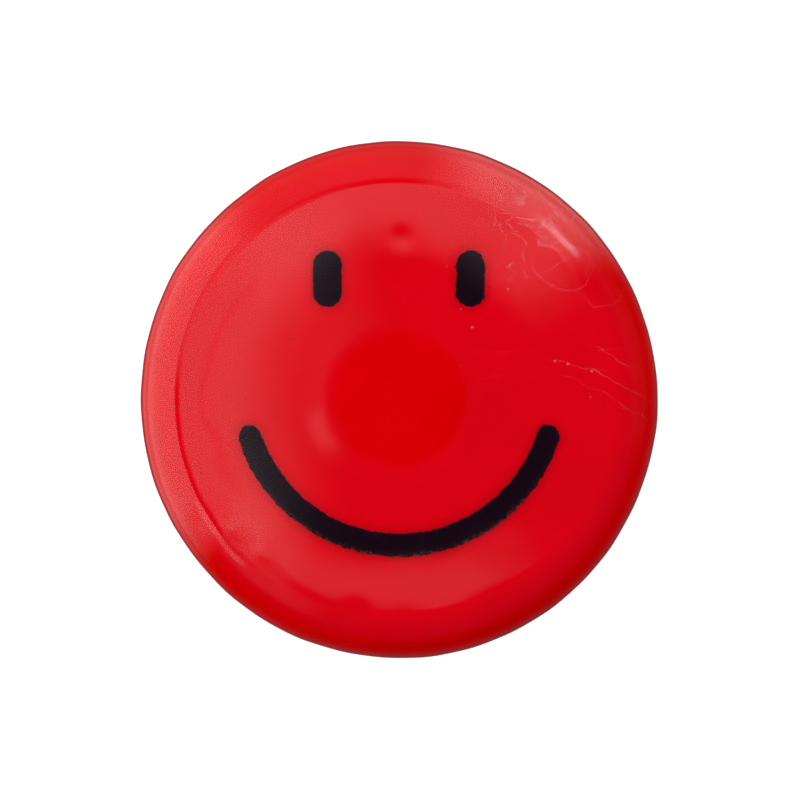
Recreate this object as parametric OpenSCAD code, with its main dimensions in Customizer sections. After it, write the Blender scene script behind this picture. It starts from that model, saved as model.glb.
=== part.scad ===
// A 38 mm button badge with a riveted bar pin on its back.
// The badge stands as it is worn: its face looks along -Y and its top is +Z.
// The origin is the middle of the pin stem, on the stem's own axis, and +X points to the stem's tip.
//
// Each sub-part is drawn in face coordinates and stood up by as_worn():
// x to the wearer's left, y up, z out of the face, with z = 0 on the pin stem.

/* [Badge] */
// Outside diameter of the finished badge
badge_d = 38; // [36:0.5:44]
// Radius of the domed face
dome_r = 115; // [100:5:150]
// Radius of the shoulder that rolls from the face to the rim
shoulder_r = 3.9; // [3.4:0.1:4.4]
// Radius of the curl round the back of the rim
curl_r = 1.15; // [1.1:0.05:1.3]
// How far the badge's centre hangs below the pin stem
hang = 3; // [1:0.5:4]

/* [Layers] */
// Thickness of the clear cover film
film_t = 0.15; // [0.1:0.01:0.18]
// Thickness of the black ink
ink_t = 0.03; // [0.02:0.01:0.04]
// Thickness of the printed sheet
sheet_t = 0.12; // [0.1:0.01:0.14]
// Thickness of the tinplate shell and back plate
tin_t = 0.3; // [0.25:0.01:0.3]
// Space between one layer and the next
layer_gap = 0.02; // [0.02:0.005:0.03]

/* [Print] */
// Width of one eye
eye_w = 2.1; // [1.6:0.1:2.6]
// Height of one eye
eye_h = 4.1; // [3.2:0.1:4.6]
// Distance of an eye from the middle line
eye_x = 5.2; // [4:0.1:6]
// Height of the eyes above the badge's centre
eye_y = 8.8; // [7:0.1:9.4]
// Radius of the mouth's centre line
mouth_r = 11.4; // [9:0.1:12]
// Width of the mouth's line
mouth_w = 1.7; // [1.2:0.1:2]
// Angle from straight down to each end of the mouth
mouth_half_angle = 72; // [50:1:80]
// Height of the mouth's centre of curvature above the badge's centre
mouth_y = 0.8; // [0:0.1:1]

/* [Pin bar] */
// Length of the pin bar
bar_l = 25.4; // [24.8:0.1:26]
// Width of the pin bar
bar_w = 4.8; // [4.4:0.1:5.2]
// Thickness of the pin bar
bar_t = 0.6; // [0.5:0.05:0.7]
// Space for cloth between the stem's axis and the pin bar
cloth_room = 2.8; // [2.8:0.1:3.2]
// Distance of each bar rivet from the middle
bar_rivet_x = 6.2; // [5:0.1:7]

/* [Pin] */
// Radius of the wire at the hinge eye
wire_r = 0.4; // [0.38:0.01:0.42]
// Radius of the stem between the hinge and the point
stem_r = 0.36; // [0.32:0.01:0.36]
// Half the length of the stem's straight part
stem_half = 8.4; // [8:0.1:8.6]
// Radius of the hinge rivet's shank
hinge_rivet_r = 0.5; // [0.45:0.01:0.52]
// Running clearance of the wire eye on its rivet and of the barrel in its housing
clearance = 0.05; // [0.04:0.01:0.08]

/* [Catch] */
// Radius of the catch barrel where it turns in its housing
barrel_r = 1.45; // [1.4:0.01:1.48]
// Width of the barrel's slot
slot_w = 1.1; // [1:0.05:1.2]
// Radius of the barrel's bore
barrel_bore_r = 0.62; // [0.6:0.01:0.66]
// Length of the catch housing
housing_l = 1.6; // [1.4:0.1:1.8]
// Reach of the thumb lever from the barrel's axis
lever_reach = 3; // [2.7:0.1:3.2]

/* [Hidden] */
$fn = 96;
fine = 720;

// Colours
red = [0.85, 0.02, 0.05];
black = [0.05, 0.04, 0.05];
tinplate = [0.72, 0.73, 0.74];
nickel = [0.82, 0.81, 0.78];
steel = [0.62, 0.64, 0.67];

// Depth of each layer's outer side below the film's outer side
ink_depth = film_t + layer_gap;
sheet_depth = ink_depth + ink_t + layer_gap;
shell_depth = sheet_depth + sheet_t + layer_gap;

// The rim's profile: dome, shoulder and curl touch each other along one smooth line
badge_r = badge_d / 2;
plate_z = cloth_room + bar_t;
plate_step = 0.38;
equator_z = plate_z + plate_step - layer_gap;
shoulder_x = badge_r - shoulder_r;
curl_x = badge_r - curl_r;
dome_end = 90 - asin(shoulder_x / (dome_r - shoulder_r));
dome_z = equator_z - (dome_r - shoulder_r) * sin(dome_end);
curl_end_shell = -160;
curl_end_cover = -180;
// Past every profile, for the solids that cut them
reach = 30;

// The mouth's round ends stand this much inside the width of its line
end_inset = 0.01;

// The back plate, whose flange is held by the curl
flange_gap = 0.06;
flange_r = badge_r - shell_depth - tin_t - flange_gap;
panel_r = 13.9;
step_run = 0.6;

// Rivets that hold the bar to the plate
bar_rivet_r = 0.7;
bar_rivet_head_r = 1.25;
bar_rivet_head_h = 0.5;
bar_rivet_tail_r = 1.05;
bar_rivet_tail_h = 0.35;

// The hinge: the wire's eye is tangent to the stem's axis
eye_mid_r = hinge_rivet_r + clearance + wire_r;
hinge_offset = 2.5;
hinge_x = -stem_half - hinge_offset;
bracket_t = 0.4;
bracket_l = 3;
bracket_w = 3.4;
ear_r = 1.2;
ear_t = 0.45;
ear_play = 0.08;
ear_gap = 2 * (wire_r + ear_play);
ear_top_w = 2;
hinge_head_r = 0.85;
hinge_head_h = 0.32;

// The stem's taper and point
taper_l = 0.8;
point_l = 3.9;
point_r = 0.06;

// The catch: a barrel turning in an open housing
housing_r = barrel_r + clearance;
housing_t = 0.5;
housing_open = 120;
housing_foot = [3.1, 4, 0.35];
neck_w = 2;
catch_offset = 2.1;
catch_x = stem_half + catch_offset;
flange_l = 0.4;
barrel_flange_r = 1.8;
lever_angle = 47;
lever_t = 0.5;
lever_l = 1.4;
lever_bead_r = 0.36;

// Stands a sub-part up as the badge is worn
module as_worn() {
    rotate([90, 0, 0])
        children();
}

// Moves a sub-part of the round badge below the pin stem
module at_badge_centre() {
    translate([0, -hang, 0])
        children();
}

// Points of a wedge from a band's centre, which reaches past the band
function wedge(from, to, steps = 8) =
    concat([[0, 0]], [for (i = [0:steps]) let (a = from + (to - from) * i / steps) reach * [cos(a), sin(a)]]);

// The band between two radii, all the way round
module ring_band(outer, inner) {
    difference() {
        circle(outer);
        circle(inner);
    }
}

// The band between two radii and two angles
module arc_band(outer, inner, from, to) {
    intersection() {
        ring_band(outer, inner);
        polygon(wedge(from, to));
    }
}

// The dome's share of a layer that starts at a depth and has a thickness.
// It is cut along the same line as the shoulder's wedge, so that the two meet exactly.
module dome_profile(depth, thickness) {
    cut = reach * [cos(dome_end), sin(dome_end)];
    intersection() {
        translate([shoulder_x, equator_z])
            intersection() {
                translate([-shoulder_x, dome_z - equator_z])
                    ring_band(dome_r - depth, dome_r - depth - thickness, $fn = fine);
                polygon([[0, 0], cut, [-reach, cut.y], [-reach, 0]]);
            }
        square(reach);
    }
}

// A whole layer: dome, shoulder, and the curl as far as an angle
module layer_profile(depth, thickness, curl_end) {
    dome_profile(depth, thickness);
    translate([shoulder_x, equator_z])
        arc_band(shoulder_r - depth, shoulder_r - depth - thickness, 0, dome_end);
    translate([curl_x, equator_z])
        arc_band(curl_r - depth, curl_r - depth - thickness, curl_end, 0);
}

module layer(depth, thickness, curl_end) {
    rotate_extrude($fn = 144)
        layer_profile(depth, thickness, curl_end);
}

// Ink lies in the space between the printed sheet and the film
module ink() {
    intersection() {
        rotate_extrude($fn = 144)
            dome_profile(ink_depth, ink_t);
        linear_extrude(reach)
            children();
    }
}

// A bar with two round ends
module capsule(w, h) {
    square([w, h - w], center = true);
    for (end = [-1, 1])
        translate([0, end * (h - w) / 2])
            circle(w / 2);
}

// A domed rivet head that rises along +z
module rivet_head(r, h) {
    ball_r = (r * r + h * h) / (2 * h);
    rotate_extrude()
        intersection() {
            translate([0, h - ball_r])
                circle(ball_r);
            square([r, h]);
        }
}

// Turns a drawing in y and z into a bar along x
module along_x(from, length) {
    translate([from, 0, 0])
        rotate([90, 0, 90])
            linear_extrude(length)
                children();
}

module clear_film() {
    color([0.9, 0.9, 0.92, 0.35])
        as_worn()
            at_badge_centre()
                layer(0, film_t, curl_end_cover);
}

module printed_eyes() {
    color(black)
        as_worn()
            at_badge_centre()
                ink()
                    for (side = [-1, 1])
                        translate([side * eye_x, eye_y])
                            capsule(eye_w, eye_h);
}

module printed_mouth() {
    color(black)
        as_worn()
            at_badge_centre()
                ink()
                    translate([0, mouth_y]) {
                        arc_band(mouth_r + mouth_w / 2, mouth_r - mouth_w / 2,
                            -90 - mouth_half_angle, -90 + mouth_half_angle);
                        for (side = [-1, 1])
                            rotate(-90 + side * mouth_half_angle)
                                translate([mouth_r, 0])
                                    circle(mouth_w / 2 - end_inset);
                    }
}

module printed_sheet() {
    color(red)
        as_worn()
            at_badge_centre()
                layer(sheet_depth, sheet_t, curl_end_cover);
}

module front_shell() {
    color(tinplate)
        as_worn()
            at_badge_centre()
                layer(shell_depth, tin_t, curl_end_shell);
}

// A flat panel, a step and a flange, all of one sheet
module back_plate_profile() {
    polygon([
        [0, plate_z], [panel_r, plate_z],
        [panel_r + step_run, plate_z + plate_step], [flange_r, plate_z + plate_step],
        [flange_r, plate_z + plate_step + tin_t], [panel_r + step_run - tin_t / 2, plate_z + plate_step + tin_t],
        [panel_r - tin_t / 2, plate_z + tin_t], [0, plate_z + tin_t]
    ]);
}

module back_plate() {
    color(tinplate)
        as_worn()
            difference() {
                at_badge_centre()
                    rotate_extrude($fn = 144)
                        back_plate_profile();
                bar_rivet_places()
                    cylinder(r = bar_rivet_r, h = 2 * plate_z);
            }
}

module bar_rivet_places() {
    for (side = [-1, 1])
        translate([side * bar_rivet_x, 0, 0])
            children();
}

module pin_bar() {
    color(nickel)
        as_worn()
            difference() {
                intersection() {
                    translate([-bar_l / 2, -bar_w / 2, cloth_room])
                        cube([bar_l, bar_w, bar_t]);
                    cylinder(r = bar_l / 2, h = 2 * plate_z);
                }
                bar_rivet_places()
                    cylinder(r = bar_rivet_r, h = 2 * plate_z);
            }
}

module bar_rivets() {
    color(nickel)
        as_worn()
            bar_rivet_places() {
                translate([0, 0, cloth_room])
                    cylinder(r = bar_rivet_r, h = bar_t + tin_t);
                translate([0, 0, cloth_room])
                    mirror([0, 0, 1])
                        rivet_head(bar_rivet_head_r, bar_rivet_head_h);
                translate([0, 0, plate_z + tin_t])
                    rivet_head(bar_rivet_tail_r, bar_rivet_tail_h);
            }
}

// One ear of the hinge bracket, drawn in x and z
module ear_profile() {
    floor_z = cloth_room - bracket_t / 2;
    difference() {
        union() {
            translate([hinge_x, eye_mid_r])
                circle(ear_r);
            polygon([
                [hinge_x - bracket_l / 2, floor_z], [hinge_x + bracket_l / 2, floor_z],
                [hinge_x + ear_top_w / 2, eye_mid_r], [hinge_x - ear_top_w / 2, eye_mid_r]
            ]);
        }
        translate([hinge_x, eye_mid_r])
            circle(hinge_rivet_r);
    }
}

module hinge_bracket() {
    color(nickel)
        as_worn() {
            translate([hinge_x - bracket_l / 2, -bracket_w / 2, cloth_room - bracket_t])
                cube([bracket_l, bracket_w, bracket_t]);
            for (side = [0, 1])
                mirror([0, side, 0])
                    translate([0, ear_gap / 2 + ear_t, 0])
                        rotate([90, 0, 0])
                            linear_extrude(ear_t)
                                ear_profile();
        }
}

module hinge_rivet() {
    half_grip = ear_gap / 2 + ear_t;
    color(nickel)
        as_worn()
            translate([hinge_x, 0, eye_mid_r])
                rotate([90, 0, 0]) {
                    cylinder(r = hinge_rivet_r, h = 2 * half_grip, center = true);
                    for (side = [0, 1])
                        mirror([0, 0, side])
                            translate([0, 0, half_grip])
                                rivet_head(hinge_head_r, hinge_head_h);
                }
}

// The stem's radius from the hinge eye to the sharpened point, turned about its own axis
module stem_profile() {
    polygon([
        [0, hinge_x], [wire_r, hinge_x],
        [wire_r, -stem_half - taper_l], [stem_r, -stem_half],
        [stem_r, stem_half], [point_r, stem_half + point_l],
        [0, stem_half + point_l]
    ]);
}

module pin_stem() {
    color(steel)
        as_worn() {
            rotate([0, 90, 0])
                rotate_extrude()
                    stem_profile();
            // three quarters of a turn round the hinge rivet
            translate([hinge_x, 0, eye_mid_r])
                rotate([90, 0, 0])
                    rotate_extrude(angle = 270, start = 0)
                        translate([eye_mid_r, 0])
                            circle(wire_r);
        }
}

module catch_housing() {
    foot_z = cloth_room - housing_foot.z;
    neck_z = housing_r + housing_t / 2;
    color(nickel)
        as_worn() {
            along_x(catch_x - housing_l / 2, housing_l) {
                arc_band(housing_r + housing_t, housing_r,
                    housing_open / 2 - 90, 270 - housing_open / 2);
                translate([-neck_w / 2, neck_z])
                    square([neck_w, foot_z + housing_foot.z / 2 - neck_z]);
            }
            translate([catch_x - housing_foot.x / 2, -housing_foot.y / 2, foot_z])
                cube(housing_foot);
        }
}

// The barrel: a drum between two flanges, a slot that lets the stem in, and a thumb lever
module catch_barrel() {
    half_drum = housing_l / 2 + clearance;
    half_barrel = half_drum + flange_l;
    color(steel)
        as_worn()
            difference() {
                union() {
                    along_x(catch_x - half_drum, 2 * half_drum)
                        circle(barrel_r);
                    for (from = [-half_barrel, half_drum])
                        along_x(catch_x + from, flange_l)
                            circle(barrel_flange_r);
                    along_x(catch_x - lever_l / 2, lever_l)
                        rotate(270 - lever_angle)
                            translate([barrel_bore_r + lever_t, -lever_t / 2])
                                square([lever_reach - barrel_bore_r - lever_t, lever_t]);
                    along_x(catch_x - lever_l / 2, lever_l)
                        rotate(270 - lever_angle)
                            translate([lever_reach, 0])
                                circle(lever_bead_r);
                }
                along_x(catch_x - 2 * half_barrel, 4 * half_barrel) {
                    circle(barrel_bore_r);
                    translate([-slot_w / 2, -lever_reach])
                        square([slot_w, lever_reach]);
                }
            }
}

clear_film();
printed_eyes();
printed_mouth();
printed_sheet();
front_shell();
back_plate();
pin_bar();
bar_rivets();
hinge_bracket();
hinge_rivet();
pin_stem();
catch_housing();
catch_barrel();
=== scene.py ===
"""Looks for the button badge: wrapped film, printed sheet, ink, metal back, stage, lights and camera."""

import math

import bmesh
import bpy
import numpy as np
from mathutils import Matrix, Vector
from mathutils.geometry import delaunay_2d_cdt


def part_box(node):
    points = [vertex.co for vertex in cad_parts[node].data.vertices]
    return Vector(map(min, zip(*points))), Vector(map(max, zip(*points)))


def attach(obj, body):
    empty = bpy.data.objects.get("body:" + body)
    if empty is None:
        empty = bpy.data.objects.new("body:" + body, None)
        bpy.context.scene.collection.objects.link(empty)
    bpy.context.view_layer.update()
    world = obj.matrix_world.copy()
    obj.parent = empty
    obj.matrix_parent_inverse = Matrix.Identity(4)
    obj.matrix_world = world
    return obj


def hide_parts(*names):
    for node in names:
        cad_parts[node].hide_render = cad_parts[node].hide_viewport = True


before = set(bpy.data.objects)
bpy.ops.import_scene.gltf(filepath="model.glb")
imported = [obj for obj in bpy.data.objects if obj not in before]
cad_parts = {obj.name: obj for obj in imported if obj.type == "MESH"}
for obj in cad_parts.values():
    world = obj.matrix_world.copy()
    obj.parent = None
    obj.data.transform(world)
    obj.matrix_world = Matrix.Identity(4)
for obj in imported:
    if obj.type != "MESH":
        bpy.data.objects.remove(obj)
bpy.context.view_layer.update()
MM = 0.001
rng = np.random.default_rng(38)

# ---------------------------------------------------------------------------------------------
# Sizes, in metres. Places come from the CAD boxes; radii repeat the design's own.
# ---------------------------------------------------------------------------------------------

FILM_LO, FILM_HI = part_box("clear_film")
BADGE_X = (FILM_LO.x + FILM_HI.x) / 2
BADGE_Z = (FILM_LO.z + FILM_HI.z) / 2
BADGE_R = (FILM_HI.x - FILM_LO.x) / 2
DOME_R = 115 * MM
SHOULDER_R = 3.9 * MM
CURL_R = 1.15 * MM
REAR_Y = FILM_HI.y
EQUATOR_H = CURL_R - REAR_Y
SHOULDER_C = BADGE_R - SHOULDER_R
CURL_C = BADGE_R - CURL_R
DOME_END = math.asin(SHOULDER_C / (DOME_R - SHOULDER_R))
DOME_H = EQUATOR_H - (DOME_R - SHOULDER_R) * math.cos(DOME_END)

# Depths below the film's outer face
FILM_T = 0.035 * MM
INK_TOP, INK_BOTTOM = 0.042 * MM, 0.09 * MM
SHEET_TOP, SHEET_BOTTOM = 0.065 * MM, 0.33 * MM

# The print, measured from the badge's centre
EYE_W, EYE_H, EYE_X, EYE_Y = 2.1 * MM, 4.1 * MM, 5.2 * MM, 8.8 * MM
MOUTH_R, MOUTH_W, MOUTH_Y = 11.4 * MM, 1.7 * MM, 0.8 * MM
MOUTH_HALF = math.radians(72)
SCREEN_PITCH, SCREEN_RAGGED = 0.26 * MM, 0.033 * MM
POINTS_PER_PITCH = 3.2

# How finely the film and the sheet are meshed, and where their tuck ends behind the rim
ROUND_SEGS = 320
FIRST_RING_R = 0.3 * MM
DOME_RINGS, SHOULDER_RINGS, CURL_RINGS = 58, 27, 30
TUCK_END = math.radians(268)


# ---------------------------------------------------------------------------------------------
# Small helpers
# ---------------------------------------------------------------------------------------------

def smoothstep(low, high, x):
    t = np.clip((x - low) / (high - low), 0, 1)
    return t * t * (3 - 2 * t)


def add_mesh(name, verts, faces, smooth=True):
    mesh = bpy.data.meshes.new(name)
    mesh.from_pydata([tuple(v) for v in verts], [], [tuple(f) for f in faces])
    mesh.update()
    if smooth:
        mesh.shade_smooth()
    else:
        mesh.shade_flat()
    obj = bpy.data.objects.new(name, mesh)
    bpy.context.scene.collection.objects.link(obj)
    return obj


def place(obj, body, slot, material, *nodes):
    """Gives a piece its material, hangs it on its body's empty and hides the CAD parts it stands in for."""
    obj.data.materials.clear()
    obj.data.materials.append(material)
    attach(obj, body)
    if nodes:
        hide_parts(*nodes)
    return obj


# ---------------------------------------------------------------------------------------------
# The wrapped surface of the badge
# ---------------------------------------------------------------------------------------------

class Waves:
    """A smooth random field: a sum of plane waves over the face, scaled to a chosen height."""

    def __init__(self, count, shortest, longest, height):
        length = rng.uniform(shortest, longest, count)
        heading = rng.uniform(0, 2 * math.pi, count)
        self.k = (2 * math.pi / length)[:, None] * np.stack([np.cos(heading), np.sin(heading)], 1)
        self.phase = rng.uniform(0, 2 * math.pi, count)
        self.height = height * length / length.mean() / math.sqrt(count)

    def __call__(self, x, z):
        arg = x[..., None] * self.k[:, 0] + z[..., None] * self.k[:, 1] + self.phase
        return (np.sin(arg) * self.height).sum(-1)


broad_waves = Waves(14, 9 * MM, 20 * MM, 0.022 * MM)
short_waves = Waves(26, 3.2 * MM, 7 * MM, 0.0045 * MM)
WOBBLES = (3, 5, 9, 14, 23, 37)  # how often each ripple of the rim comes in a turn
RIM_WOBBLE = 0.045 * MM
PLEATS = 84
PLEAT_H = 0.09 * MM
pleat_shift = rng.uniform(0, 2 * math.pi, 6)
DENTS = (  # place on the face, radius and depth, in mm
    (0.2, 11.8, 0.8, 0.026),
    (10.6, 12.9, 1.5, 0.02),
    (12.2, 10.8, 1.2, -0.014),
    (-14.0, -8.6, 0.9, 0.026),
    (-12.9, -9.7, 0.8, -0.02),
    (-11.8, -10.6, 0.9, 0.026),
    (-10.4, -11.4, 0.8, -0.016),
    (-4.6, -2.2, 1.4, 0.004),
)


def lift(angle, turn, r):
    """How far the wrapped film and sheet stand off their ideal surface."""
    x, z = r * np.cos(turn), r * np.sin(turn)
    near_rim = smoothstep(0.3 * BADGE_R, 0.85 * BADGE_R, r)
    height = (0.25 + 0.75 * near_rim) * broad_waves(x, z) + near_rim * short_waves(x, z)
    for dx, dz, size, depth in DENTS:
        away = ((x - dx * MM) ** 2 + (z - dz * MM) ** 2) / (size * MM) ** 2
        height = height - depth * MM * np.exp(-away)
    edge = smoothstep(math.radians(45), math.radians(85), angle)
    wobble = sum(np.sin(n * turn + i) for i, n in enumerate(WOBBLES))
    height = height + edge * RIM_WOBBLE * wobble / len(WOBBLES)
    behind = smoothstep(math.radians(120), math.radians(230), angle)
    wander = sum(np.sin((i + 2) * turn + s) for i, s in enumerate(pleat_shift))
    fold = np.abs(np.sin(PLEATS / 2 * turn + 1.3 * wander))
    return height + behind * PLEAT_H * (fold ** 3 + 0.25 * np.sin(7 * turn + pleat_shift[0]))


def surface(angle, turn, depth, dome=None):
    """A point of the wrapped surface. angle is the normal's tilt from straight ahead and turn goes round the
    badge. On the dome its radius is given instead, as dome."""
    if dome is not None:
        angle = np.arcsin(dome / DOME_R)
        r0 = dome
        centre_r, centre_h, radius = 0.0, DOME_H, DOME_R
    else:
        on_shoulder = angle <= math.pi / 2
        centre_r = np.where(on_shoulder, SHOULDER_C, CURL_C)
        centre_h = EQUATOR_H
        radius = np.where(on_shoulder, SHOULDER_R, CURL_R)
        r0 = centre_r + radius * np.sin(angle)
    # Towards the rim the layers lie closer together, so that the red fills the outline
    closeness = 1 - 0.8 * smoothstep(math.radians(35), math.radians(72), angle)
    radius = radius - depth * closeness + lift(angle, turn, r0)
    r = centre_r + radius * np.sin(angle)
    h = centre_h + radius * np.cos(angle)
    return np.stack([BADGE_X + r * np.cos(turn), -h, BADGE_Z + r * np.sin(turn)], -1)


def face_point(x, z, depth):
    """The point of the dome in front of (x, z), measured from the badge's centre."""
    r, turn = np.hypot(x, z), np.arctan2(z, x)
    return surface(None, turn, depth, dome=r)


def layer_rings(depth):
    """Rings of points from the middle of the face to the end of the tuck."""
    turn = np.linspace(0, 2 * math.pi, ROUND_SEGS, endpoint=False)
    dome_radii = np.linspace(FIRST_RING_R, DOME_R * math.sin(DOME_END), DOME_RINGS)
    rings = [surface(None, turn, depth, dome=np.full(ROUND_SEGS, r)) for r in dome_radii]
    angles = np.concatenate([
        np.linspace(DOME_END, math.pi / 2, SHOULDER_RINGS)[1:],
        np.linspace(math.pi / 2, TUCK_END, CURL_RINGS)[1:],
    ])
    rings += [surface(np.full(ROUND_SEGS, a), turn, depth) for a in angles]
    return np.array(rings)


def wrapped_layer(name, top, bottom):
    """A closed thin sheet between two depths, wrapped over the face, the shoulder and the curl."""
    outer, inner = layer_rings(top), layer_rings(bottom)
    count, segs = outer.shape[:2]
    tips = [face_point(np.zeros(1), np.zeros(1), d)[0] for d in (top, bottom)]
    verts = np.concatenate([outer.reshape(-1, 3), inner.reshape(-1, 3), np.array(tips)])
    tip_out, tip_in = len(verts) - 2, len(verts) - 1
    off = count * segs
    faces = []
    for i in range(segs):
        j = (i + 1) % segs
        faces.append((tip_out, j, i))
        faces.append((tip_in, off + i, off + j))
        for k in range(count - 1):
            a, b = k * segs, (k + 1) * segs
            faces.append((a + i, a + j, b + j, b + i))
            faces.append((off + a + i, off + b + i, off + b + j, off + a + j))
        e = (count - 1) * segs
        faces.append((e + i, e + j, off + e + j, off + e + i))
    obj = add_mesh(name, verts, faces)
    fix_normals(obj)
    return obj


def fix_normals(obj):
    bm = bmesh.new()
    bm.from_mesh(obj.data)
    bmesh.ops.recalc_face_normals(bm, faces=bm.faces)
    bm.to_mesh(obj.data)
    bm.free()


# ---------------------------------------------------------------------------------------------
# The print
# ---------------------------------------------------------------------------------------------

def eye_distance(x, z):
    """Distance from the nearest eye's edge, negative inside."""
    dx = np.abs(x) - EYE_X
    dz = np.maximum(np.abs(z - EYE_Y) - (EYE_H - EYE_W) / 2, 0)
    return np.hypot(dx, dz) - EYE_W / 2


def mouth_distance(x, z):
    """Distance from the mouth's edge, negative inside."""
    turn = np.arctan2(x, MOUTH_Y - z)
    held = np.clip(turn, -MOUTH_HALF, MOUTH_HALF)
    mx, mz = MOUTH_R * np.sin(held), MOUTH_Y - MOUTH_R * np.cos(held)
    return np.hypot(x - mx, z - mz) - MOUTH_W / 2


def eye_outline(side, steps=90):
    """The outline of a bar with two round ends, point by point."""
    points = []
    for end in (1, -1):
        for t in np.linspace(0, math.pi, steps // 2):
            a = t if end > 0 else t + math.pi
            z = EYE_Y + end * (EYE_H - EYE_W) / 2 + EYE_W / 2 * math.sin(a)
            points.append((side * EYE_X + EYE_W / 2 * math.cos(a), z))
    return np.array(points)


def mouth_outline(steps=330, cap=26):
    """The outline of a round arc with two round ends."""
    points = []
    for direction, reach in ((1, MOUTH_R + MOUTH_W / 2), (-1, MOUTH_R - MOUTH_W / 2)):
        for t in np.linspace(-direction * MOUTH_HALF, direction * MOUTH_HALF, steps):
            points.append((reach * math.sin(t), MOUTH_Y - reach * math.cos(t)))
        end = direction * MOUTH_HALF
        cx, cz = MOUTH_R * math.sin(end), MOUTH_Y - MOUTH_R * math.cos(end)
        rx, rz = math.sin(end), -math.cos(end)
        tx, tz = math.cos(end), math.sin(end)
        for t in np.linspace(0, math.pi, cap)[1:-1]:
            out = direction * math.cos(t) * MOUTH_W / 2
            along = direction * math.sin(t) * MOUTH_W / 2
            points.append((cx + out * rx + along * tx, cz + out * rz + along * tz))
    return np.array(points)


def even_outline(points, spacing):
    """The same closed outline with its points evenly spaced."""
    closed = np.vstack([points, points[:1]])
    step = np.hypot(*np.diff(closed, axis=0).T)
    along = np.concatenate([[0], np.cumsum(step)])
    count = max(24, int(along[-1] / spacing))
    at = np.linspace(0, along[-1], count, endpoint=False)
    return np.stack([np.interp(at, along, closed[:, i]) for i in (0, 1)], 1)


def screen_edge(points):
    """Roughens an outline as a silk screen does: small steps about as long as the screen's mesh."""
    points = even_outline(points, SCREEN_PITCH / POINTS_PER_PITCH)
    count = len(points)
    knots = rng.normal(0, 1, max(6, int(count / POINTS_PER_PITCH)))
    at = np.arange(count) / count * len(knots)
    low = np.floor(at).astype(int)
    part = smoothstep(0, 1, at - low)
    step = knots[low % len(knots)] * (1 - part) + knots[(low + 1) % len(knots)] * part
    step = step + 0.6 * rng.normal(0, 1, count)
    tangent = np.roll(points, -1, 0) - np.roll(points, 1, 0)
    tangent /= np.hypot(*tangent.T)[:, None]
    normal = np.stack([tangent[:, 1], -tangent[:, 0]], 1)
    return points + normal * (SCREEN_RAGGED * step)[:, None]


def ink_patch(name, outlines, distance, grid=0.3 * MM, margin=0.12 * MM):
    """Ink on the dome: filled outlines with a thickness, following the wrapped surface. The grid of points
    that fills an outline keeps a margin from its edge."""
    verts, faces, worn = [], [], []
    for outline in outlines:
        edge = screen_edge(outline)
        lo, hi = edge.min(0), edge.max(0)
        gx, gz = np.meshgrid(np.arange(lo[0], hi[0], grid), np.arange(lo[1], hi[1], grid))
        inner = np.stack([gx.ravel(), gz.ravel()], 1)
        inner = inner[distance(inner[:, 0], inner[:, 1]) < -margin]
        flat = [Vector(p / MM) for p in np.vstack([edge, inner])]
        ring = [(i, (i + 1) % len(edge)) for i in range(len(edge))]
        out, _, tris, *_ = delaunay_2d_cdt(flat, ring, [], 1, 1e-6)
        flat = np.array([tuple(v) for v in out]) * MM
        base = len(verts)
        top, bottom = (face_point(flat[:, 0], flat[:, 1], d) for d in (INK_TOP, INK_BOTTOM))
        verts += list(top) + list(bottom)
        outer_side = smoothstep(0, 0.6 * MM, np.hypot(flat[:, 0], flat[:, 1] - MOUTH_Y) - MOUTH_R)
        low = smoothstep(5 * MM, 9 * MM, -flat[:, 1])
        near_edge = smoothstep(-0.26 * MM, -0.02 * MM, distance(flat[:, 0], flat[:, 1]))
        worn += list(np.tile(near_edge * (0.1 + 0.7 * outer_side * low), 2))
        n = len(flat)
        used = {}
        for tri in tris:
            faces.append([base + i for i in tri])
            faces.append([base + n + i for i in reversed(tri)])
            for a, b in zip(tri, list(tri[1:]) + [tri[0]]):
                used[(a, b)] = used.get((a, b), 0) + 1
        for a, b in used:
            if (b, a) not in used:
                faces.append((base + a, base + n + a, base + n + b, base + b))
    obj = add_mesh(name, verts, faces, smooth=False)
    worn_edge = obj.data.attributes.new("worn_edge", "FLOAT", "POINT")
    worn_edge.data.foreach_set("value", np.array(worn, np.float32))
    fix_normals(obj)
    return obj


# ---------------------------------------------------------------------------------------------
# Node helpers
# ---------------------------------------------------------------------------------------------

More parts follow.
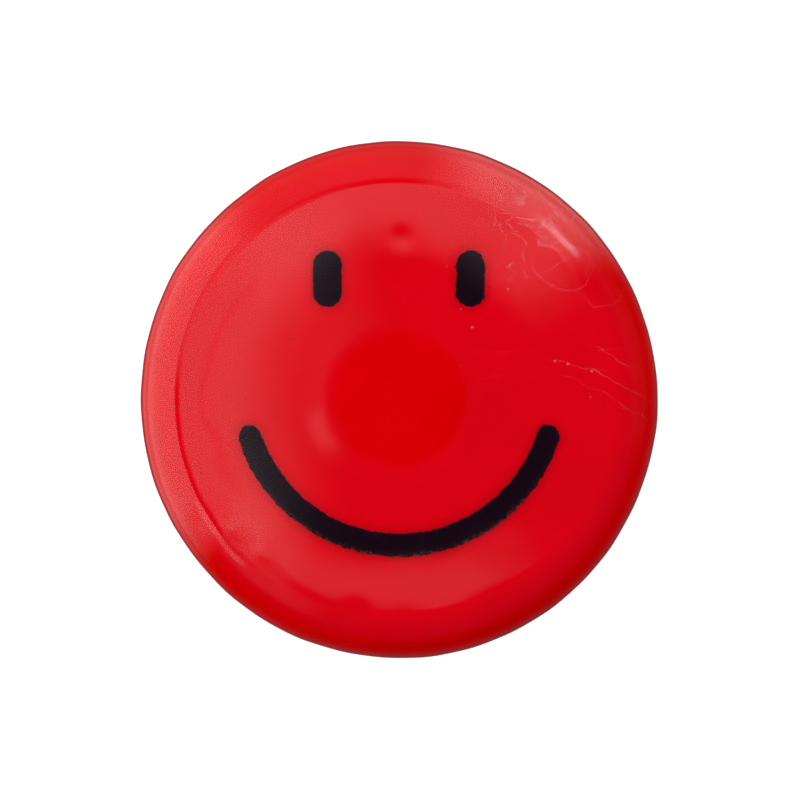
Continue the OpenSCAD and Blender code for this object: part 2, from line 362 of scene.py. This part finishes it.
class Tree:
    """Short calls for building a node tree."""

    def __init__(self, owner):
        owner.use_nodes = True
        self.nodes = owner.node_tree.nodes
        self.links = owner.node_tree.links
        self.nodes.clear()

    def add(self, kind, inputs=None, **settings):
        node = self.nodes.new(kind)
        for key, value in settings.items():
            setattr(node, key, value)
        for key, value in (inputs or {}).items():
            self.set(node.inputs[key], value)
        return node

    def set(self, socket, value):
        if isinstance(value, bpy.types.NodeSocket):
            self.links.new(value, socket)
        elif isinstance(value, bpy.types.Node):
            self.links.new(value.outputs[0], socket)
        else:
            socket.default_value = value

    def maths(self, operation, a, b=0.0, clamp=False):
        return self.add("ShaderNodeMath", {0: a, 1: b}, operation=operation, use_clamp=clamp).outputs[0]

    def mapped(self, value, low, high, to_low=0.0, to_high=1.0):
        inputs = {"Value": value, "From Min": low, "From Max": high, "To Min": to_low, "To Max": to_high}
        return self.add("ShaderNodeMapRange", inputs, interpolation_type="SMOOTHSTEP").outputs[0]

    def noise(self, place, scale, detail=3.0, roughness=0.5, distortion=0.0):
        inputs = {"Vector": place, "Scale": scale, "Detail": detail, "Roughness": roughness,
                  "Distortion": distortion}
        return self.add("ShaderNodeTexNoise", inputs).outputs["Fac"]

    def stretched(self, scale, rotation=(0, 0, 0)):
        place = self.add("ShaderNodeTexCoord").outputs["Object"]
        inputs = {"Vector": place, "Scale": scale, "Rotation": rotation}
        return self.add("ShaderNodeMapping", inputs).outputs[0]

    def near(self, place, point, inner, outer):
        """1 within inner of a point, fading to 0 at outer."""
        away = self.add("ShaderNodeVectorMath", {0: place, 1: point}, operation="DISTANCE").outputs["Value"]
        return self.mapped(away, inner, outer, 1.0, 0.0)

    def spots(self, place, scale, size, share):
        """Small round spots in a share of the cells of a random pattern."""
        cells = self.add("ShaderNodeTexVoronoi", {"Vector": place, "Scale": scale})
        chosen = self.add("ShaderNodeSeparateColor", {0: cells.outputs["Color"]}).outputs[0]
        chosen = self.maths("LESS_THAN", chosen, share)
        spot = self.mapped(cells.outputs["Distance"], size / 2, size, 1.0, 0.0)
        return self.maths("MULTIPLY", spot, chosen)

    def mix(self, factor, a, b):
        node = self.nodes.new("ShaderNodeMix")
        node.data_type = "RGBA"
        for socket, value in ((node.inputs[0], factor), (node.inputs[6], a), (node.inputs[7], b)):
            self.set(socket, value)
        return node.outputs[2]

    def bump(self, height, strength, distance):
        inputs = {"Height": height, "Strength": strength, "Distance": distance}
        return self.add("ShaderNodeBump", inputs).outputs[0]

    def finish(self, shader, output="ShaderNodeOutputMaterial"):
        self.links.new(shader.outputs[0], self.add(output).inputs["Surface"])


def new_material(name):
    material = bpy.data.materials.new(name)
    return material, Tree(material)


# ---------------------------------------------------------------------------------------------
# Materials
# ---------------------------------------------------------------------------------------------

# An arc's centre and radius, the middle and reach of the part of it that shows, in mm, and its brightness
SCRATCHES = (
    (4.8, -21.2, 25.0, 14.6, 1.6, 5.2, 0.62),
    (5.4, -20.6, 25.9, 15.8, 3.1, 2.4, 0.3),
    (3.6, -22.4, 25.4, 15.0, 0.3, 4.2, 0.45),
    (12.2, 10.2, 2.3, 11.9, 8.4, 3.4, 0.6),
    (14.6, 8.6, 1.8, 15.2, 7.2, 2.4, 0.5),
    (4.0, 4.0, 12.2, 10.6, 13.4, 3.0, 0.4),
)


FILM_IOR = 1.36
MIRROR_LIMIT = 0.25  # real film mirrors more at a grazing angle, which turns the rim pale
SCUFF_SHARE = 0.16


def film_material():
    """Clear glossy film: it mirrors a little and lets the rest through. Hairline scratches, rubbed patches
    and specks gather towards the upper right, where the badge has been knocked."""
    material, t = new_material("clear_film")
    place = t.stretched((1, 1, 1))
    knocked = t.near(place, (BADGE_X + 11 * MM, -7 * MM, BADGE_Z + 7 * MM), 3 * MM, 10 * MM)
    hairs = None
    for turn, width in ((0.45, 0.004), (-0.8, 0.0035)):
        curve = t.noise(t.stretched((45, 45, 330), (0, turn, 0)), 1.0, 1, 0.4, 0.2)
        line = t.mapped(t.maths("ABSOLUTE", t.maths("SUBTRACT", curve, 0.5)), 0.0, width, 1.0, 0.0)
        hairs = line if hairs is None else t.maths("MAXIMUM", hairs, line)
    broken = t.mapped(t.noise(place, 330, 1), 0.48, 0.62)
    hairs = t.maths("MULTIPLY", t.maths("MULTIPLY", hairs, broken), t.maths("MULTIPLY", knocked, 0.3))
    swirl = t.maths("ABSOLUTE", t.maths("SUBTRACT", t.noise(place, 260, 3, 0.55, 1.4), 0.5))
    rubbed_rim = t.near(place, (BADGE_X + 10 * MM, -7 * MM, BADGE_Z + 12 * MM), 2 * MM, 5.5 * MM)
    swirl = t.maths("MULTIPLY", t.mapped(swirl, 0.0, 0.018, 0.65, 0.0), rubbed_rim)
    hairs = t.maths("MAXIMUM", hairs, swirl)
    marks = t.maths("MAXIMUM", hairs, t.maths("MULTIPLY", t.spots(place, 1150, 0.15, 0.2), knocked))
    flat = t.stretched((1, 0, 1))
    wander = t.mapped(t.noise(place, 520, 2), 0.2, 0.8, -0.3 * MM, 0.3 * MM)
    for x, z, radius, near_x, near_z, reach, bright in SCRATCHES:
        point = (BADGE_X + x * MM, 0, BADGE_Z + z * MM)
        away = t.add("ShaderNodeVectorMath", {0: flat, 1: point}, operation="DISTANCE").outputs["Value"]
        away = t.maths("ABSOLUTE", t.maths("SUBTRACT", t.maths("ADD", away, wander), radius * MM))
        line = t.mapped(away, 0.01 * MM, 0.06 * MM, bright, 0.0)
        where = (BADGE_X + near_x * MM, 0, BADGE_Z + near_z * MM)
        line = t.maths("MULTIPLY", line, t.near(flat, where, reach * MM / 2, reach * MM))
        marks = t.maths("MAXIMUM", marks, t.maths("MULTIPLY", line, t.mapped(broken, 0.0, 1.0, 0.35, 1.0)))
    rubbed = t.mapped(t.noise(place, 240, 2, 0.6), 0.46, 0.75)
    rubbed = t.maths("MULTIPLY", rubbed, t.mapped(knocked, 0.0, 1.0, 0.2, 1.0))
    rough = t.maths("ADD", t.maths("MULTIPLY", rubbed, 0.09), t.maths("MULTIPLY", marks, 0.2))
    rough = t.maths("ADD", rough, 0.012)
    normal = t.bump(t.noise(place, 420, 1), 0.06, 0.00002)
    mirror = t.add("ShaderNodeBsdfGlossy", {"Roughness": rough, "Normal": normal})
    clear = t.add("ShaderNodeBsdfTransparent", {"Color": (0.985, 0.985, 0.985, 1)})
    share = t.add("ShaderNodeFresnel", {"IOR": FILM_IOR, "Normal": normal}).outputs[0]
    share = t.maths("MINIMUM", share, MIRROR_LIMIT)
    film = t.add("ShaderNodeMixShader", {0: share, 1: clear, 2: mirror})
    scuff = t.add("ShaderNodeBsdfDiffuse", {"Color": (0.85, 0.6, 0.62, 1)})
    film = t.add("ShaderNodeMixShader", {0: t.maths("MULTIPLY", marks, SCUFF_SHARE), 1: film, 2: scuff})
    inside = t.add("ShaderNodeNewGeometry").outputs["Backfacing"]
    film = t.add("ShaderNodeMixShader", {0: inside, 1: film, 2: clear})
    lamp_ray = t.add("ShaderNodeLightPath").outputs["Is Shadow Ray"]
    t.finish(t.add("ShaderNodeMixShader", {0: lamp_ray, 1: film, 2: clear}))
    return material


def print_material():
    """Red print on a coated sheet. Beside the black the red carries painted shade: a dark halo standing in
    for the light the sheet loses under the ink.
    """
    material, t = new_material("red_print")
    place = t.stretched((1, 1, 1))
    cloud = t.noise(place, 160, 5, 0.55)
    grain = t.noise(place, 5200, 2, 0.5)
    red = t.mix(t.mapped(cloud, 0.3, 0.7), (0.65, 0.0, 0.0014, 1), (0.69, 0.0, 0.0022, 1))
    red = t.mix(t.maths("MULTIPLY", t.mapped(grain, 0.35, 0.65), 0.12), red, (0.54, 0.0, 0.0005, 1))
    # Painted shade: the red darkens beside the ink, a halo of shade round the print
    shade = t.add("ShaderNodeAttribute", attribute_name="painted_ink_halo_shade").outputs["Fac"]
    red = t.mix(shade, red, (0.3, 0.0, 0.0005, 1))
    red = t.mix(t.maths("MULTIPLY", t.spots(place, 620, 0.07, 0.12), 0.7), red, (0.12, 0.0, 0.001, 1))
    rough = t.mapped(t.noise(place, 700, 3), 0.3, 0.7, 0.03, 0.06)
    inputs = {"Base Color": red, "Roughness": rough, "Specular IOR Level": 0.22,
              "Normal": t.bump(grain, 0.05, 0.00001)}
    t.finish(t.add("ShaderNodeBsdfPrincipled", inputs))
    return material


def ink_material():
    """Black screen ink, slightly uneven."""
    material, t = new_material("black_ink")
    place = t.stretched((1, 1, 1))
    thin = t.mapped(t.noise(place, 2600, 4, 0.65), 0.55, 0.85)
    black = t.mix(thin, (0.003, 0.001, 0.002, 1), (0.02, 0.003, 0.006, 1))
    edge = t.add("ShaderNodeAttribute", attribute_name="worn_edge").outputs["Fac"]
    missed = t.mapped(t.noise(place, 7000, 2, 0.6), 0.5, 0.58)
    black = t.mix(t.maths("MULTIPLY", missed, edge), black, (0.16, 0.05, 0.035, 1))
    rough = t.mapped(t.noise(place, 1500, 3), 0.3, 0.7, 0.45, 0.7)
    inputs = {"Base Color": black, "Roughness": rough, "Specular IOR Level": 0.05,
              "Normal": t.bump(t.noise(place, 3900, 2), 0.3, 0.00002)}
    t.finish(t.add("ShaderNodeBsdfPrincipled", inputs))
    return material


def metal_material(name, bright, dull, rough_low, rough_high, grain_scale, rust=0.0):
    """Plated or drawn metal with a grain along x, smudges, fine scratches and, if asked, rust freckles."""
    material, t = new_material(name)
    place = t.stretched((1, 1, 1))
    grain = t.noise(t.stretched(grain_scale), 1.0, 4, 0.6)
    smudge = t.noise(place, 210, 4, 0.6)
    colour = t.mix(t.mapped(smudge, 0.35, 0.75), bright, dull)
    scratch = t.mapped(t.noise(t.stretched((300, 300, 9000), (0, 0.7, 0)), 1.0, 2), 0.68, 0.73)
    scratch = t.maths("MULTIPLY", scratch, t.mapped(t.noise(place, 120, 2), 0.5, 0.62))
    rough = t.mapped(smudge, 0.3, 0.75, rough_low, rough_high)
    rough = t.maths("ADD", rough, t.maths("MULTIPLY", grain, 0.08))
    rough = t.maths("ADD", rough, t.maths("MULTIPLY", scratch, 0.15))
    metallic = 1.0
    if rust:
        freckle = t.mapped(t.noise(place, 1500, 5, 0.7), 0.7 - rust, 0.74 - rust)
        freckle = t.maths("MULTIPLY", freckle, t.mapped(t.noise(place, 130, 3), 0.56, 0.66))
        colour = t.mix(freckle, colour, (0.1, 0.035, 0.012, 1))
        rough = t.maths("ADD", rough, t.maths("MULTIPLY", freckle, 0.4))
        metallic = t.maths("SUBTRACT", 1.0, freckle)
    height = t.maths("SUBTRACT", grain, t.maths("MULTIPLY", scratch, 0.5))
    inputs = {"Base Color": colour, "Roughness": rough, "Metallic": metallic,
              "Normal": t.bump(height, 0.25, 0.00003)}
    t.finish(t.add("ShaderNodeBsdfPrincipled", inputs))
    return material


film = film_material()
red_print = print_material()
black_ink = ink_material()
tinplate = metal_material("tinplate", (0.71, 0.70, 0.68, 1), (0.63, 0.62, 0.60, 1), 0.22, 0.3,
                          (140, 2600, 9000), rust=0.03)
nickel = metal_material("nickel_plate", (0.8, 0.77, 0.71, 1), (0.66, 0.63, 0.57, 1), 0.14, 0.26,
                        (300, 2600, 5200))
steel = metal_material("spring_steel", (0.66, 0.66, 0.67, 1), (0.5, 0.5, 0.51, 1), 0.18, 0.3,
                       (9000, 700, 700))

# ---------------------------------------------------------------------------------------------
# Pieces of the face
# ---------------------------------------------------------------------------------------------

film_piece = wrapped_layer("clear_film_cover", 0.0, FILM_T)
place(film_piece, "badge", "clear_film", film, "clear_film")

sheet_piece = wrapped_layer("red_sheet", SHEET_TOP, SHEET_BOTTOM)
co = np.array([v.co for v in sheet_piece.data.vertices])
sheet_x, sheet_z = co[:, 0] - BADGE_X, co[:, 2] - BADGE_Z
# Painted shade beside the ink: the red is darkened by up to a half within about 0.75 mm of the print
gap = np.minimum(eye_distance(sheet_x, sheet_z), mouth_distance(sheet_x, sheet_z))
beside = sheet_piece.data.attributes.new("painted_ink_halo_shade", "FLOAT", "POINT")
beside.data.foreach_set("value", (0.5 * (1 - smoothstep(-0.1 * MM, 0.75 * MM, gap))).astype(np.float32))
place(sheet_piece, "badge", "red_print", red_print, "printed_sheet")

eyes = ink_patch("black_eyes", [eye_outline(-1), eye_outline(1)], eye_distance)
place(eyes, "badge", "black_ink", black_ink, "printed_eyes")
mouth = ink_patch("black_mouth", [mouth_outline()], mouth_distance)
place(mouth, "badge", "black_ink", black_ink, "printed_mouth")

METAL_NODES = {
    "front_shell": tinplate, "back_plate": tinplate, "pin_bar": nickel, "bar_rivets": nickel,
    "hinge_bracket": nickel, "hinge_rivet": nickel, "pin_stem": steel, "catch_housing": nickel,
    "catch_barrel": steel,
}
for node, material in METAL_NODES.items():
    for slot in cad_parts[node].material_slots:
        slot.link = "OBJECT"
        slot.material = material

# ---------------------------------------------------------------------------------------------
# Stage, light and camera
# ---------------------------------------------------------------------------------------------

CENTRE = Vector((BADGE_X, -EQUATOR_H, BADGE_Z))
FLOOR_Z = FILM_LO.z - 2 * BADGE_R


def stage_bowl():
    """A floor that sweeps up into a wall all round, far behind every camera."""
    flat_r, sweep_r, top = 0.9, 0.6, 1.6
    profile = [(r, 0.0) for r in np.linspace(0.02, flat_r, 12)]
    profile += [(flat_r + sweep_r * math.sin(a), sweep_r * (1 - math.cos(a)))
                for a in np.linspace(0, math.pi / 2, 16)[1:]]
    profile.append((flat_r + sweep_r, top))
    segs = 96
    verts = [(r * math.cos(2 * math.pi * i / segs), r * math.sin(2 * math.pi * i / segs), FLOOR_Z + h)
             for r, h in profile for i in range(segs)]
    verts.append((0, 0, FLOOR_Z))
    faces = [(len(verts) - 1, i, (i + 1) % segs) for i in range(segs)]
    for k in range(len(profile) - 1):
        for i in range(segs):
            j = (i + 1) % segs
            faces.append((k * segs + i, (k + 1) * segs + i, (k + 1) * segs + j, k * segs + j))
    bowl = add_mesh("stage_floor", verts, faces)
    material, t = new_material("stage_paper")
    paper = t.mix(t.noise(t.stretched((1, 1, 1)), 40, 3), (0.4, 0.4, 0.4, 1), (0.43, 0.43, 0.43, 1))
    diffuse = t.add("ShaderNodeBsdfDiffuse", {"Color": paper})
    glow = t.add("ShaderNodeEmission", {"Color": (1, 1, 1, 1), "Strength": 0.75})
    t.finish(t.add("ShaderNodeAddShader", {0: diffuse, 1: glow}))
    bowl.data.materials.append(material)
    bowl.visible_diffuse = bowl.visible_glossy = False
    bowl.visible_transmission = bowl.visible_shadow = False


# Soft panels round the badge, as it sees them, in degrees: how far from straight ahead they start and end
# and how soft those edges are, then their middle and half width going round the badge (0 is right, 90 is
# up) and how soft their sides are, then their brightness. A negative one is a flag that shades the others.
PANELS = (
    # start, soft, end, soft, middle, half, soft, brightness
    (112, 8, 141, 8, 173.5, 40, 9, 0.5),
    (103, 12, 141, 8, 57, 22, 8, 0.5),
    (106, 14, 141, 8, 92, 50, 10, 0.16),
    (11, 3, 29, 5, 172, 52, 26, 1.05),
    (15.3, 0.4, 16.0, 0.4, 174, 32, 12, -0.35),
    (40, 1.5, 114, 8, 173.5, 40, 9, 1.45),
    (28, 2, 39, 2, 150, 22, 8, 0.7),
    (13.8, 2.4, 22, 1.5, 86, 48, 14, 0.85),
    (34, 6, 108, 14, 92, 44, 8, 0.42),
    (20, 3, 104, 12, 57, 19, 8, 1.5),
    (42, 3, 57, 6, 45, 6, 3.5, 3.2),
    (13.6, 1.8, 16.9, 0.5, 258, 46, 14, 0.52),
    (40, 2, 52, 3, 217, 8, 3, 1.1),
    (15.5, 1.5, 19.5, 1, 220, 7, 4, 0.45),
    (6.3, 0.4, 7.6, 0.8, 202, 13, 8, 0.55),
    (6.3, 0.4, 10, 2.5, 165, 50, 25, 0.25),
    (26, 5, 62, 8, 232, 14, 10, 0.25),
    (60, 10, 100, 10, 12, 24, 8, 0.06),
    (166, 3, 190, 1, 0, 200, 1, 0.8),
)
AMBIENT = 0.18
# The dark lens opening that the badge mirrors: its half width and the softness of its edge, in degrees
LENS_HOLE, LENS_SOFT = 5.6, 0.25


def studio_world():
    """The panels and a dim room. tilt is the angle from straight ahead of the badge, turn goes round it."""
    world = bpy.data.worlds.new("studio")
    bpy.context.scene.world = world
    t = Tree(world)
    direction = t.add("ShaderNodeTexCoord").outputs["Generated"]
    axis = t.add("ShaderNodeSeparateXYZ", {0: direction})
    tilt = t.maths("ARCCOSINE", t.maths("MULTIPLY", axis.outputs["Y"], -1.0))
    tilt = t.maths("MULTIPLY", tilt, 180 / math.pi)
    turn = t.maths("ARCTAN2", axis.outputs["Z"], axis.outputs["X"])
    turn = t.maths("MULTIPLY", turn, 180 / math.pi)
    light = 0.0
    for start, start_soft, end, end_soft, middle, half, side_soft, bright in PANELS:
        away = t.maths("SUBTRACT", turn, float(middle))
        away = t.add("ShaderNodeMath", {0: away, 1: 180.0, 2: -180.0}, operation="WRAP").outputs[0]
        across = t.mapped(t.maths("ABSOLUTE", away), half - side_soft, half + side_soft, 1.0, 0.0)
        begin = t.mapped(tilt, start - start_soft, start + start_soft)
        finish = t.mapped(tilt, end - end_soft, end + end_soft, 1.0, 0.0)
        panel = t.maths("MULTIPLY", t.maths("MULTIPLY", begin, finish), across)
        light = t.maths("ADD", light, t.maths("MULTIPLY", panel, bright))
    room = t.mapped(tilt, 100.0, 150.0, 0.0, 0.08)
    panels = t.add("ShaderNodeBackground", {"Color": (1, 1, 1, 1), "Strength": t.maths("ADD", light, room)})
    hole = t.mapped(tilt, LENS_HOLE - LENS_SOFT, LENS_HOLE + LENS_SOFT, 0.0, AMBIENT)
    hole = t.maths("MULTIPLY", hole, t.mapped(tilt, 60.0, 90.0, 1.0, 0.0))
    dim = t.add("ShaderNodeBackground", {"Color": (1, 0.12, 0.85, 1), "Strength": hole})
    t.finish(t.add("ShaderNodeAddShader", {0: panels, 1: dim}), "ShaderNodeOutputWorld")
    world.cycles.sampling_method = "NONE"


def soft_light(name, offset, size, power, only=None):
    """A broad soft light on the badge, which nothing mirrors. With only, it lights just those pieces and
    they mirror it, as they would a card held near them."""
    data = bpy.data.lights.new(name, "AREA")
    data.shape, data.size, data.energy = "DISK", size, power
    light = bpy.data.objects.new(name, data)
    light.location = CENTRE + Vector(offset)
    light.rotation_euler = (CENTRE - light.location).to_track_quat("-Z", "Y").to_euler()
    light.visible_camera = False
    light.visible_glossy = only is not None
    light.light_linking.receiver_collection = only
    bpy.context.scene.collection.objects.link(light)


def photo_camera():
    """Straight in front of the badge, with a long lens. badge_share is its share of the picture's width."""
    badge_share, distance = 0.6468, 0.45
    data = bpy.data.cameras.new("camera")
    data.sensor_width = 36.0
    data.lens = data.sensor_width * distance / (2 * BADGE_R / badge_share)
    data.clip_end = 10.0
    data.shift_x, data.shift_y = 0.00125, -0.0006
    camera = bpy.data.objects.new("camera", data)
    camera.location = CENTRE + Vector((0, -distance, 0))
    camera.rotation_euler = (math.radians(90), 0, 0)
    bpy.context.scene.collection.objects.link(camera)
    bpy.context.scene.camera = camera


stage_bowl()
studio_world()
soft_light("low_fill", (0.3, -0.1, -0.35), 0.6, 0.55)
soft_light("left_fill", (-0.62, -0.34, 0.1), 0.5, 0.6)
soft_light("front_tent", (0, -0.6, 0), 4.0, 16.0)
soft_light("rear_tent", (0, 0.6, 0), 4.0, 18.0)
metal = bpy.data.collections.new("metal")
for node in METAL_NODES:
    metal.objects.link(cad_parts[node])
soft_light("rear_card_right", (0.42, 0.44, -0.1), 0.4, 0.36, metal)
soft_light("rear_card_left", (-0.42, 0.34, 0.3), 0.4, 0.5, metal)
soft_light("rear_card_low", (-0.1, 0.42, -0.4), 0.8, 0.6, metal)
photo_camera()
bpy.context.scene.view_settings.view_transform = "Standard"
